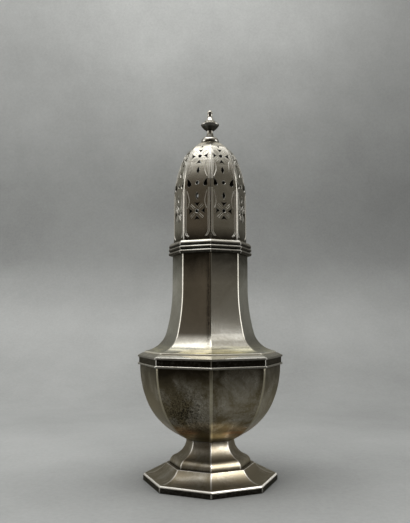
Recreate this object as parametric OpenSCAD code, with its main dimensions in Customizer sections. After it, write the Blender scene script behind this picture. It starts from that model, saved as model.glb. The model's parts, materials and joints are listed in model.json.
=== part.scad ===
// Octagonal silver sugar caster with a pull-off pierced cover.
// Every half width is measured across the flats: from the axis to the middle of a side.
// The vessel stands on z = 0 with an arris towards -Y.

/* [Foot] */
// Half width of the foot rim
foot_half_w = 29.3; // [27:0.1:33]
// Height of the foot rim band
foot_rim_h = 2.3; // [1.5:0.1:4]
// Thickness of the foot rim band
foot_rim_t = 1.7; // [1:0.1:3]
// Setback of the foot's brim behind the face of the rim
brim_setback = 0.2; // [0.1:0.05:0.5]
// Sheet thickness of the foot
foot_t = 0.8; // [0.6:0.05:1.2]
// Rise of the hollow plinth above the brim
plinth_h = 4.9; // [3.5:0.1:7]
// Width of the ledge round the foot of the stem
plinth_ledge_w = 1.7; // [0.8:0.1:3]
// Half width of the stem where it stands on the plinth
stem_foot_half_w = 17.7; // [15:0.1:20]
// Upright riser at the bottom of the stem
stem_riser_h = 0.5; // [0.2:0.1:1]
// Rounding of the stem above its riser
stem_toe_r = 3.5; // [2:0.1:5]
// Half width of the stem at its waist
stem_half_w = 10.5; // [8:0.1:13]
// Height of the stem above the plinth
stem_h = 11.2; // [9:0.1:16]

/* [Bowl] */
// Half width of the bowl at its top edge
bowl_half_w = 31.2; // [28:0.1:35]
// Height of the bowl
bowl_h = 34.4; // [30:0.1:40]
// Slope where the bowl's long upper curve turns into the tight lower one, from upright
bowl_turn_angle = 21.7; // [18:0.1:26]
// Slope at the foot of the bowl, from upright
bowl_foot_angle = 68.5; // [64:0.5:72]
// Lip of the bowl's flat bottom beyond the stem
bowl_foot_lip = 0.4; // [0.1:0.1:1]
// Sheet thickness of the bowl
bowl_t = 0.9; // [0.6:0.05:1.2]

/* [Girdle moulding] */
// How far the girdle stands out beyond the bowl
girdle_proud = 1; // [0.3:0.1:1.5]
// Radius of the bead along its lower edge
girdle_bead_r = 0.55; // [0.3:0.05:0.8]
// Height of the flat band between bead and fillet
girdle_band_h = 2.6; // [1.5:0.1:4]
// Depth of the band behind the fillet
girdle_band_depth = 0.6; // [0.4:0.1:1]
// Height of the fillet along its upper edge
girdle_fillet_h = 0.8; // [0.5:0.1:1.5]
// Rise of the sloping shelf above the fillet
girdle_shelf_h = 1.2; // [0.3:0.1:1.5]
// Distance from the girdle's edge to the foot of the neck's flare
girdle_shelf_w = 2.9; // [2.5:0.1:5]

/* [Neck] */
// Half width of the upright part of the neck
neck_half_w = 17; // [15:0.1:19]
// Height of the upright part of the neck
neck_straight_h = 19.4; // [16:0.1:30]
// Height of the flare below it
flare_h = 30; // [26:0.1:40]
// Slope where the neck's long curve turns into the tight one, from upright
flare_turn_angle = 14; // [12:0.1:16]
// Slope at the foot of the flare, from upright
flare_angle = 82; // [78:1:86]
// Sheet thickness of the neck
neck_t = 0.9; // [0.6:0.05:1.2]

/* [Neck rim] */
// Radius of each reed
reed_r = 0.95; // [0.6:0.05:1.3]
// Number of reeds
reed_count = 2; // [1:1:3]
// Flat backing of the reeds, out from the neck
reed_backing_t = 0.85; // [0.5:0.05:1.5]

/* [Cover] */
// How far the dome's face stands out beyond the bezel
dome_set_out = 0.55; // [0.3:0.05:0.7]
// Height of the dome's upright wall
dome_wall_h = 21; // [15:0.1:28]
// Height of the curved cap above the wall
dome_cap_h = 29.5; // [26:0.1:36]
// Half width of the flat crown under the finial
crown_half_w = 3.7; // [3:0.1:4.5]
// Slope where the cap's long curve turns into the tight one, from upright
cap_turn_angle = 21.6; // [19:0.1:25]
// Slope where the curve meets the crown, from upright
crown_angle = 68; // [62:1:74]
// Sheet thickness of the dome
dome_t = 0.8; // [0.6:0.05:1.2]
// Height of the cover's rim moulding
cover_rim_h = 2.5; // [2:0.1:4]
// How far the cover's rim stands out beyond the dome
cover_rim_proud = 2.1; // [1.2:0.1:3]
// Height of the rim's upright lower edge
cover_rim_edge_h = 0.6; // [0.3:0.1:1]
// Step from the dome's face to the top of the rim
cover_rim_step = 0.3; // [0.1:0.1:0.6]
// Depth of the bezel inside the neck
bezel_depth = 12.4; // [8:0.1:15]
// Sheet thickness of the bezel
bezel_t = 0.7; // [0.5:0.05:1]
// Play between bezel and neck on each flat
bezel_gap = 0.15; // [0.05:0.01:0.3]
// Gap between the cover's rim and its seat
seat_gap = 0.1; // [0.05:0.05:0.3]

/* [Piercing] */
// Drop of the lower rosette below the top of the wall
lower_rosette_drop = 7.6; // [6.5:0.1:10]
// Drop of the lower lozenge below the top of the wall
lower_lozenge_drop = 0.4; // [0:0.1:1]
// Rise of the pair of commas above the wall
comma_rise = 5.2; // [4.5:0.1:6]
// Rise of the roundel above the wall
roundel_rise = 5.9; // [4.5:0.1:7]
// Rise of the upper lozenge above the wall
upper_lozenge_rise = 12.1; // [10.5:0.1:12.5]
// Drop of the upper rosette below the crown
upper_rosette_drop = 10; // [9.5:0.1:10.5]
// Drop of the small lozenge below the crown
top_lozenge_drop = 4.6; // [4:0.1:5]
// Length of a rosette's darts
dart_l = 2.1; // [1.2:0.1:2.3]
// Width of a dart across its barbs
dart_w = 3; // [1.5:0.1:3.2]
// Depth of the notch in a dart's back
dart_notch = 0.8; // [0.2:0.1:1]
// Distance of a dart's tip from the middle of its rosette
dart_reach = 2; // [1.6:0.1:2.2]
// Radius of the eye of a rosette
eye_r = 0.8; // [0.4:0.05:1]
// Length of a lozenge
lozenge_l = 3.3; // [2:0.1:3.8]
// Width of a lozenge
lozenge_w = 1.5; // [0.8:0.1:2]
// Size of the small lozenge below the crown, as a share of the others
top_lozenge_share = 0.45; // [0.3:0.05:0.55]
// Radius of the roundel
roundel_r = 0.85; // [0.5:0.05:1.2]
// Radius of a comma's bulb
comma_r = 1; // [0.5:0.05:1.2]
// Length of a comma's tail
comma_l = 3.2; // [2:0.1:3.6]
// Bend of a comma's tail
comma_bend_r = 3.6; // [3:0.1:6]
// Distance of a comma's bulb from the middle of its panel
comma_offset = 4.1; // [3:0.1:4.3]

/* [Finial] */
// Radius of the collar's foot
collar_r = 4.4; // [3.5:0.1:5]
// Radius of the collar's top
collar_top_r = 2.3; // [2.2:0.1:2.8]
// Height of the collar
collar_h = 3.1; // [2:0.1:4]
// Height of the upright edge of the collar's foot
collar_edge_h = 0.5; // [0.3:0.1:0.8]
// Swell of the collar's side beyond a straight slope
collar_swell = 0.55; // [0.3:0.05:0.7]
// Radius of the finial's foot
finial_foot_r = 2; // [1.8:0.1:2.1]
// Radius of the finial's stem
finial_stem_r = 1.5; // [1.2:0.05:1.65]
// Height of the stem from its foot to the waist
finial_stem_h = 3; // [1.5:0.1:4]
// Radius of the urn's brim
urn_r = 4.5; // [3.5:0.1:5]
// Height of the urn's cup, from the waist to the brim
urn_cup_h = 2.9; // [2.5:0.1:5]
// Swell of the cup's side
urn_cup_swell = 0.25; // [0.1:0.05:0.5]
// Thickness of the urn's brim
urn_brim_t = 0.45; // [0.2:0.05:0.6]
// Height of the urn's lid, from the brim to the tip's neck
urn_lid_h = 3.6; // [2.5:0.1:5]
// Hollow of the lid's side
urn_lid_hollow = 0.35; // [0.2:0.05:0.6]
// Radius of the neck below the tip
tip_neck_r = 1.25; // [1:0.05:1.35]
// Height of that neck
tip_neck_h = 1.6; // [0.8:0.1:2.4]
// Radius of the ball at the tip
tip_r = 1.45; // [1.4:0.05:1.8]
// Radius of the tang that holds the finial
tang_r = 0.8; // [0.5:0.05:0.95]
// Length of the tang past the crown's underside
tang_end_l = 0.6; // [0.3:0.1:1.5]
// Play round the tang
tang_gap = 0.05; // [0.02:0.01:0.1]

/* [Hidden] */

silver = "Silver";
bright_silver = "Gainsboro";
dark_silver = "DarkGray";

sides = 8;
panel_turn = 360 / sides;
corner_share = 1 / cos(180 / sides);
arc_steps = 10;
reed_steps = 8;
turned_fn = 64;

// Levels of the stack, from the table up
brim_z = foot_rim_h + foot_t;
plinth_z = brim_z + plinth_h;
bowl_z = plinth_z + stem_h;
girdle_z = bowl_z + bowl_h;
girdle_band_z = girdle_z + 2 * girdle_bead_r;
girdle_fillet_z = girdle_band_z + girdle_band_h;
girdle_edge_z = girdle_fillet_z + girdle_fillet_h;
neck_z = girdle_edge_z + girdle_shelf_h;
flare_lip_h = 0.8 * neck_t;
flare_z = neck_z + flare_lip_h;
neck_straight_z = flare_z + flare_h;
mouth_z = neck_straight_z + neck_straight_h;
cover_z = mouth_z + seat_gap;
dome_z = cover_z + cover_rim_h;
dome_cap_z = dome_z + dome_wall_h;
crown_z = dome_cap_z + dome_cap_h;
finial_z = crown_z + collar_h;

plinth_half_w = stem_foot_half_w + plinth_ledge_w;
girdle_half_w = bowl_half_w + girdle_proud;
flare_half_w = girdle_half_w - girdle_shelf_w;
bezel_half_w = neck_half_w - neck_t - bezel_gap;
dome_half_w = bezel_half_w + dome_set_out;
cut_l = 4 * dome_t;

// Radius of the arc that starts along one axis and ends dx and dz away, dx across its start
function tangent_radius(dx, dz) = (dx * dx + dz * dz) / (2 * dx);

// Two arcs that start upright, meet at slope a1 and end at slope a2, dx across and dz along: their radii
function two_arc_radii(dx, dz, a1, a2) = let (
    across = [1 - cos(a1), cos(a1) - cos(a2)],
    along = [sin(a1), sin(a2) - sin(a1)],
    det = across[0] * along[1] - across[1] * along[0])
    [(dx * along[1] - dz * across[1]) / det, (dz * across[0] - dx * along[0]) / det];

function arc(centre, r, from, to, steps = arc_steps) =
    [for (i = [0:steps]) let (a = from + (to - from) * i / steps) centre + r * [cos(a), sin(a)]];

function reverse(points) = [for (i = [len(points) - 1:-1:0]) points[i]];

// An outline turned about the axis in flat steps, one for each side
module octagonal() {
    rotate_extrude($fn = sides) scale([corner_share, 1]) children();
}

module octagon(half_w) {
    circle(r = half_w * corner_share, $fn = sides);
}

module octagon_tube(half_w, wall, h) {
    linear_extrude(height = h) difference() {
        octagon(half_w);
        octagon(half_w - wall);
    }
}

// Foot

module foot_rim() {
    color(dark_silver) octagon_tube(foot_half_w, foot_rim_t, foot_rim_h);
}

brim_half_w = foot_half_w - brim_setback;
brim_in = foot_half_w - foot_rim_t;
plinth_r = tangent_radius(plinth_h, brim_in - plinth_half_w);
plinth_angle = asin((brim_in - plinth_half_w) / plinth_r);
ogee_h = stem_h - stem_riser_h;
ogee_w = stem_foot_half_w - stem_half_w;
ogee_angle = 2 * atan2(ogee_w, ogee_h);
waist_r = tangent_radius(ogee_w, ogee_h) - stem_toe_r;

// The foot's face, moved in by a distance, from the brim to the top of the stem
function foot_face(inset) = concat(
    arc([brim_in, brim_z + plinth_r], plinth_r + inset, -90, -90 - plinth_angle),
    [[stem_foot_half_w - inset, plinth_z - inset]],
    arc([stem_foot_half_w - stem_toe_r, plinth_z + stem_riser_h], stem_toe_r - inset, 0, ogee_angle),
    arc([stem_half_w + waist_r, bowl_z], waist_r + inset, 180 + ogee_angle, 180));

module pedestal_foot() {
    color(silver) octagonal() polygon(concat(
        [[brim_half_w, foot_rim_h], [brim_half_w, brim_z]],
        foot_face(0),
        reverse(foot_face(foot_t))));
}

// Bowl

bowl_foot_half_w = stem_half_w + bowl_foot_lip;
bowl_radii = two_arc_radii(bowl_half_w - bowl_foot_half_w, bowl_h, bowl_turn_angle, bowl_foot_angle);
bowl_side_r = bowl_radii[0];
bowl_belly_r = bowl_radii[1];
bowl_side_centre = [bowl_half_w - bowl_side_r, girdle_z];
bowl_belly_centre = bowl_side_centre
    + (bowl_side_r - bowl_belly_r) * [cos(bowl_turn_angle), -sin(bowl_turn_angle)];

// The bowl's face, moved in by a distance, from its top edge to the flat bottom
function bowl_face(inset, end_angle) = concat(
    arc(bowl_side_centre, bowl_side_r - inset, 0, -bowl_turn_angle),
    arc(bowl_belly_centre, bowl_belly_r - inset, -bowl_turn_angle, -end_angle));

module bowl() {
    inside_angle = asin((bowl_belly_centre.y - bowl_z - bowl_t) / (bowl_belly_r - bowl_t));
    color(silver) octagonal() polygon(concat(
        bowl_face(0, bowl_foot_angle),
        [[0, bowl_z], [0, bowl_z + bowl_t]],
        reverse(bowl_face(bowl_t, inside_angle))));
}

// Girdle

module girdle_moulding() {
    bead = arc([girdle_half_w - girdle_bead_r, girdle_z + girdle_bead_r], girdle_bead_r, -90, 90, reed_steps);
    band_half_w = girdle_half_w - girdle_band_depth;
    girdle_in = flare_half_w - neck_t;
    shelf_half_w = flare_half_w + flare_lip_h;
    color(silver) octagonal() polygon(concat(
        bead,
        [[band_half_w, girdle_band_z], [band_half_w, girdle_fillet_z],
         [girdle_half_w, girdle_fillet_z], [girdle_half_w, girdle_edge_z],
         [shelf_half_w, neck_z], [girdle_in, neck_z], [girdle_in, girdle_z]]));
}

// Neck

flare_w = flare_half_w - neck_half_w;
neck_radii = two_arc_radii(flare_w, flare_h, flare_turn_angle, flare_angle);
waist_arc_r = neck_radii[0];
flare_r = neck_radii[1];
waist_centre = [neck_half_w + waist_arc_r, neck_straight_z];
flare_centre = waist_centre - (waist_arc_r - flare_r) * [cos(flare_turn_angle), sin(flare_turn_angle)];

// The neck's face, moved in by a distance, from the mouth to the foot of the flare
function neck_face(inset, end_angle) = concat(
    [[neck_half_w - inset, mouth_z]],
    arc(waist_centre, waist_arc_r + inset, 180, 180 + flare_turn_angle),
    arc(flare_centre, flare_r + inset, 180 + flare_turn_angle, 180 + end_angle));

module neck() {
    inside_angle = asin((flare_centre.y - neck_z) / (flare_r + neck_t));
    color(silver) octagonal() polygon(concat(
        neck_face(0, flare_angle),
        [[flare_half_w, neck_z]],
        reverse(neck_face(neck_t, inside_angle))));
}

module neck_rim() {
    reeds = [for (i = [reed_count - 1:-1:0]) each arc(
        [neck_half_w + reed_backing_t, mouth_z - (2 * i + 1) * reed_r], reed_r, -90, 90, reed_steps)];
    color(bright_silver) octagonal() polygon(concat(
        [[neck_half_w, mouth_z - 2 * reed_count * reed_r]],
        [for (i = [0:len(reeds) - 1]) reeds[i]],
        [[neck_half_w, mouth_z]]));
}

// Cover

module cover_bezel() {
    color(silver) translate([0, 0, cover_z - seat_gap - bezel_depth])
        octagon_tube(bezel_half_w, bezel_t, bezel_depth + seat_gap + cover_rim_h);
}

cover_rim_half_w = dome_half_w + cover_rim_proud;
ovolo_h = cover_rim_h - cover_rim_edge_h;
ovolo_w = cover_rim_proud - cover_rim_step;
ovolo_r = tangent_radius(ovolo_w, ovolo_h);

module cover_rim() {
    ovolo = arc([cover_rim_half_w - ovolo_r, cover_z + cover_rim_edge_h], ovolo_r, 0, asin(ovolo_h / ovolo_r),
                reed_steps);
    color(bright_silver) octagonal() polygon(concat(
        [[bezel_half_w, cover_z], [cover_rim_half_w, cover_z]],
        ovolo,
        [[bezel_half_w, dome_z]]));
}

cap_w = dome_half_w - crown_half_w;
cap_radii = two_arc_radii(cap_w, dome_cap_h, cap_turn_angle, crown_angle);
cap_r = cap_radii[0];
crown_r = cap_radii[1];
cap_centre = [dome_half_w - cap_r, dome_cap_z];
crown_centre = cap_centre + (cap_r - crown_r) * [cos(cap_turn_angle), sin(cap_turn_angle)];
cap_turn_z = dome_cap_z + cap_r * sin(cap_turn_angle);

// The dome's face, moved in by a distance, from its foot to the crown
function dome_face(inset) = concat(
    [[dome_half_w - inset, dome_z]],
    arc(cap_centre, cap_r - inset, 0, cap_turn_angle),
    arc(crown_centre, crown_r - inset, cap_turn_angle, crown_angle));

// Slope and half width of the dome's face at a height
function dome_slope(z) =
    z <= dome_cap_z ? 0
    : z <= cap_turn_z ? asin((z - dome_cap_z) / cap_r)
    : asin((z - crown_centre.y) / crown_r);
function dome_face_half_w(z) =
    z <= dome_cap_z ? dome_half_w
    : z <= cap_turn_z ? cap_centre.x + cap_r * cos(dome_slope(z))
    : crown_centre.x + crown_r * cos(dome_slope(z));

// Stands a flat shape on the face of one panel at a height and carries it through the sheet
module pierce(z) {
    translate([dome_face_half_w(z), 0, z]) rotate([0, -dome_slope(z), 0]) rotate([90, 0, 90])
        linear_extrude(height = cut_l, center = true) children();
}

module dart() {
    polygon([[0, 0], [dart_w / 2, dart_l], [0, dart_l - dart_notch], [-dart_w / 2, dart_l]]);
}

module rosette() {
    circle(r = eye_r, $fn = sides);
    for (a = [0:90:270]) rotate(a) translate([0, dart_reach]) dart();
}

module lozenge() {
    polygon([[0, -lozenge_l / 2], [lozenge_w / 2, 0], [0, lozenge_l / 2], [-lozenge_w / 2, 0]]);
}

// A bulb with a tail that bends outwards and runs out to a point
module comma() {
    tail_angle = comma_l / comma_bend_r * 180 / PI;
    tail_steps = 4;
    function spine(t) = comma_bend_r * [1 - cos(t * tail_angle), sin(t * tail_angle)];
    function across(t) = comma_r * (1 - t) * [cos(t * tail_angle), -sin(t * tail_angle)];
    polygon(concat(
        [for (a = [180:30:330]) comma_r * [cos(a), sin(a)]],
        [for (i = [0:tail_steps]) let (t = i / tail_steps) spine(t) + across(t)],
        [for (i = [tail_steps - 1:-1:1]) let (t = i / tail_steps) spine(t) - across(t)]));
}

module panel_piercing() {
    pierce(dome_cap_z - lower_rosette_drop) rosette();
    pierce(dome_cap_z - lower_lozenge_drop) lozenge();
    pierce(dome_cap_z + comma_rise)
        for (side = [0, 1]) mirror([side, 0]) translate([comma_offset, 0]) comma();
    pierce(dome_cap_z + roundel_rise) circle(r = roundel_r, $fn = sides);
    pierce(dome_cap_z + upper_lozenge_rise) lozenge();
    pierce(crown_z - upper_rosette_drop) rosette();
    pierce(crown_z - top_lozenge_drop) scale(top_lozenge_share) lozenge();
}

module pierced_dome() {
    color(silver) difference() {
        octagonal() polygon(concat(
            dome_face(0),
            [[0, crown_z]],
            [[0, crown_z - dome_t * sin(crown_angle)]],
            reverse(dome_face(dome_t))));
        for (i = [0:sides - 1]) rotate(panel_turn * (i + 0.5)) panel_piercing();
        translate([0, 0, crown_z - cut_l / 2]) cylinder(h = cut_l, r = tang_r + tang_gap, $fn = turned_fn);
    }
}

// Finial

// A curve from a to b that stands off their chord, hollow for a depth above 0 and swelling for one below
function bowed(a, b, depth) = let (
    chord = b - a,
    way = sign(depth),
    out = [chord.y, -chord.x] / norm(chord),
    r = (chord * chord / 4 + depth * depth) / (2 * abs(depth)),
    centre = (a + b) / 2 + way * (r - abs(depth)) * out,
    middle = atan2(-way * out.y, -way * out.x),
    turn = way * asin(norm(chord) / 2 / r))
    arc(centre, r, middle + turn, middle - turn);

module finial_collar() {
    color(bright_silver) translate([0, 0, crown_z]) rotate_extrude($fn = turned_fn) polygon(concat(
        [[tang_r + tang_gap, 0], [collar_r, 0]],
        bowed([collar_r, collar_edge_h], [collar_top_r, collar_h], -collar_swell),
        [[tang_r + tang_gap, collar_h]]));
}

// A curve that leaves the upright at [r, z] and spreads down to [r_end, z_end], hollow on its outer side
function trumpet(r, z, r_end, z_end) = let (
    bend = tangent_radius(r_end - r, z - z_end),
    turn = asin((z - z_end) / bend))
    arc([r + bend, z], bend, 180, 180 + turn);

module finial() {
    waist_z = finial_stem_h;
    brim_z = waist_z + urn_cup_h;
    lid_z = brim_z + urn_brim_t;
    lid_top_z = lid_z + urn_lid_h;
    neck_top_z = lid_top_z + tip_neck_h;
    ball_start = -90 + asin(tip_neck_r / tip_r);
    ball_z = neck_top_z - tip_r * sin(ball_start);
    tang_l = collar_h + dome_t + tang_end_l;
    color(bright_silver) translate([0, 0, finial_z]) rotate_extrude($fn = turned_fn) polygon(concat(
        [[0, -tang_l], [tang_r, -tang_l], [tang_r, 0]],
        reverse(trumpet(finial_stem_r, waist_z, finial_foot_r, 0)),
        bowed([finial_stem_r, waist_z], [urn_r, brim_z], -urn_cup_swell),
        bowed([urn_r, lid_z], [tip_neck_r, lid_top_z], urn_lid_hollow),
        arc([0, ball_z], tip_r, ball_start, 90)));
}

foot_rim();
pedestal_foot();
bowl();
girdle_moulding();
neck();
neck_rim();
cover_bezel();
cover_rim();
pierced_dome();
finial_collar();
finial();
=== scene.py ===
import json
from functools import partial
from math import asin, atan2, cos, degrees, hypot, pi, radians, sin, tan

import bmesh
import bpy
from mathutils import Euler, Matrix, Vector


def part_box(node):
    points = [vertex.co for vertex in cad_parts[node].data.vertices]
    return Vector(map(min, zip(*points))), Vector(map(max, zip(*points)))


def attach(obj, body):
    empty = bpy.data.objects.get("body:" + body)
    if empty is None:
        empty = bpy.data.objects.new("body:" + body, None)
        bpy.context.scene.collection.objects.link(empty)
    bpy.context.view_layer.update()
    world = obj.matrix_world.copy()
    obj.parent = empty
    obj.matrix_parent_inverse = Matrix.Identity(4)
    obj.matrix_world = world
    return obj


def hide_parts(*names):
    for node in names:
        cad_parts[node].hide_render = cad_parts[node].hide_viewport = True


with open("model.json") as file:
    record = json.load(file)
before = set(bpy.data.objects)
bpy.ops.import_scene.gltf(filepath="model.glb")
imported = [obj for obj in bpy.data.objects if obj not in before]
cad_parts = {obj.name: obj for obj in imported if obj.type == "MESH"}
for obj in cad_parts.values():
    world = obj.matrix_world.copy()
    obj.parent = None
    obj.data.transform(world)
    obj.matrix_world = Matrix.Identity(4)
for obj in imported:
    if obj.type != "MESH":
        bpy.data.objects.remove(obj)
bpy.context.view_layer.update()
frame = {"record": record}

record = frame["record"]
mm = 0.001
sides = 8
halfTurn = pi / sides                # from the middle of a panel to its arris
cornerShare = 1 / cos(halfTurn)      # corner radius over half width across the flats
scene = bpy.context.scene
scene.view_settings.view_transform = "Standard"


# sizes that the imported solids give, in millimetres

def lowOf(node):
    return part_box(node)[0][2] / mm


def topOf(node):
    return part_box(node)[1][2] / mm


def halfWidthOf(node):
    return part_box(node)[1][0] / mm / cornerShare


def spanOf(node):
    return halfWidthOf(node), lowOf(node), topOf(node)


# curves of an outline, as (half width, height) in millimetres

def arcPoints(centre, radius, start, end, steps):
    angles = [radians(start + (end - start) * i / steps) for i in range(steps + 1)]
    return [(centre[0] + radius * cos(a), centre[1] + radius * sin(a)) for a in angles]


def tangentRadius(across, along):
    return (across * across + along * along) / (2 * across)


def twoArcRadii(across, along, turnAngle, endAngle):
    a, b = radians(turnAngle), radians(endAngle)
    width = (1 - cos(a), cos(a) - cos(b))
    height = (sin(a), sin(b) - sin(a))
    det = width[0] * height[1] - width[1] * height[0]
    longArc = (across * height[1] - along * width[1]) / det
    tightArc = (along * width[0] - across * height[0]) / det
    return longArc, tightArc


def tightCentre(longCentre, radii, turnAngle):
    away = radii[0] - radii[1]
    return longCentre[0] + away * cos(radians(turnAngle)), longCentre[1] + away * sin(radians(turnAngle))


def twoArcs(longCentre, radii, inset, angles, steps):
    # a long arc runs into a tight one at the middle angle
    start, turn, end = angles
    return (arcPoints(longCentre, radii[0] + inset, start, turn, steps[0])
            + arcPoints(tightCentre(longCentre, radii, turn), radii[1] + inset, turn, end, steps[1])[1:])


# shader nodes: an input is fed by another node's output or by a plain value

def feed(tree, node, inputs):
    for socketName, value in inputs.items():
        socket = node.inputs[socketName]
        if isinstance(value, bpy.types.NodeSocket):
            tree.links.new(value, socket)
        else:
            socket.default_value = (*value, 1) if socket.type == "RGBA" else value


def addNode(tree, kind, inputs=None, **settings):
    node = tree.nodes.new(kind)
    for key, value in settings.items():
        setattr(node, key, value)
    feed(tree, node, inputs or {})
    return node


def mathNode(tree, operation, *values, clamp=False):
    node = addNode(tree, "ShaderNodeMath", dict(enumerate(values)), operation=operation, use_clamp=clamp)
    return node.outputs[0]


def vectorNode(tree, operation, *values):
    node = addNode(tree, "ShaderNodeVectorMath", dict(enumerate(values)), operation=operation)
    return node.outputs["Value" if operation in ("LENGTH", "DISTANCE", "DOT_PRODUCT") else "Vector"]


def noiseNode(tree, place, size, detail, roughness=0.5, twist=0.0):
    inputs = {"Vector": place, "Scale": size, "Detail": detail, "Roughness": roughness, "Distortion": twist}
    return addNode(tree, "ShaderNodeTexNoise", inputs).outputs["Fac"]


def rampNode(tree, source, stops):
    node = addNode(tree, "ShaderNodeValToRGB", {"Fac": source})
    while len(node.color_ramp.elements) < len(stops):
        node.color_ramp.elements.new(0.5)
    for element, (position, colour) in zip(node.color_ramp.elements, stops):
        element.position = position
        element.color = (*colour, 1) if isinstance(colour, tuple) else (colour, colour, colour, 1)
    return node.outputs["Color"]


def openSkyNode(tree, reach, samples):
    node = addNode(tree, "ShaderNodeAmbientOcclusion", {"Distance": reach}, samples=samples)
    return node.outputs["AO"]


def mixColour(tree, factor, first, second):
    return addNode(tree, "ShaderNodeMix", {0: factor, 6: first, 7: second}, data_type="RGBA").outputs[2]


def newMaterial(name):
    material = bpy.data.materials.new(name)
    material.use_nodes = True
    return material, material.node_tree, material.node_tree.nodes["Principled BSDF"]


def newGroup(name, inputs, outputs):
    group = bpy.data.node_groups.new(name, "ShaderNodeTree")
    for kind, values in inputs.items():
        for socketName, value in values.items():
            socket = group.interface.new_socket(socketName, in_out="INPUT", socket_type="NodeSocket" + kind)
            socket.default_value = (*value, 1) if kind == "Color" else value
    for socketName, kind in outputs.items():
        group.interface.new_socket(socketName, in_out="OUTPUT", socket_type="NodeSocket" + kind)
    return group


# tarnish on silver, with painted shadow, painted sheen and painted shade: what all finishes share, then what
# each finish may change

tarnishAndPaintedLightLook = {
    # noises, as (size, detail, roughness, twist); the patches take their size from the finish
    "patches": (5.0, 0.62, 0.6), "specks": (900.0, 4.0, 0.7), "streaks": (1.0, 2.0),
    "grains": (1900.0, 3.0, 0.75), "waves": (95.0, 1.0), "scratches": (2600.0, 2.0),
    "speckShare": 0.3, "mottle": 2.4,
    "cornerReach": 1.8 * mm, "cornerRamp": ((0.18, 0), (0.55, 1)), "cornerSpecks": 0.25, "rubbedClean": 0.75,
    "grimeAndShadingSpecks": 0.25,
    "paintedShadowReach": 7.0 * mm, "paintedShadowRamp": ((0.1, 0), (0.5, 0.85)), "paintedShadowPatches": 0.25,
    "bandPatches": 1.6, "bandMost": 0.9, "leastSize": 0.01 * mm,
    "streakStretch": (70.0, 70.0, 900.0), "streakRamp": ((0.4, 0.1), (0.58, 0.9)), "gapFade": 5.0 * mm,
    "grainSpecks": 0.4, "spotRamp": ((0.4, 0), (0.62, 1)), "stainBase": 0.15, "stainStrength": 1.15,
    "filmRough": 0.13, "dirtAndShadingRough": 0.3, "innerRough": 0.25, "wornRough": 0.2, "wornPower": 4.0,
    "waveHeight": 0.06,
    "scratchHeight": 0.0016, "scratchStretch": (1.0, 1.0, 0.12), "scratchTurn": (0.5, 0.3, 0.0),
}

tarnishAndPaintedLightInputs = {
    "Color": {"Silver": (0.52, 0.5, 0.445), "Film": (0.27, 0.245, 0.185), "Dirt And Shading": (0.012, 0.01, 0.007),
              "Worn And Sheen": (0.72, 0.7, 0.65), "Inner Shading": (0.05, 0.046, 0.04), "Painted Shadow And Stain": (0.07, 0.06, 0.045),
              "Painted Sheen": (0.42, 0.24, 0.14)},
    "Float": {"Film Amount": 0.5, "Dirt Reach": 0.5, "Painted Shadow Spread": 1.0, "Painted Shadow Level": 0.0, "Painted Shadow Depth": 0.0,
              "Painted Sheen Level": 0.0, "Painted Sheen Depth": 0.0, "Painted Sheen Gap": -0.01, "Stain Size": 0.0,
              "Patch Size": 60.0, "Polish": 0.17},
    "Vector": {"Stain Place": (0, 0, 0), "Stain Stretch": (1, 1, 1)},
}


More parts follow.
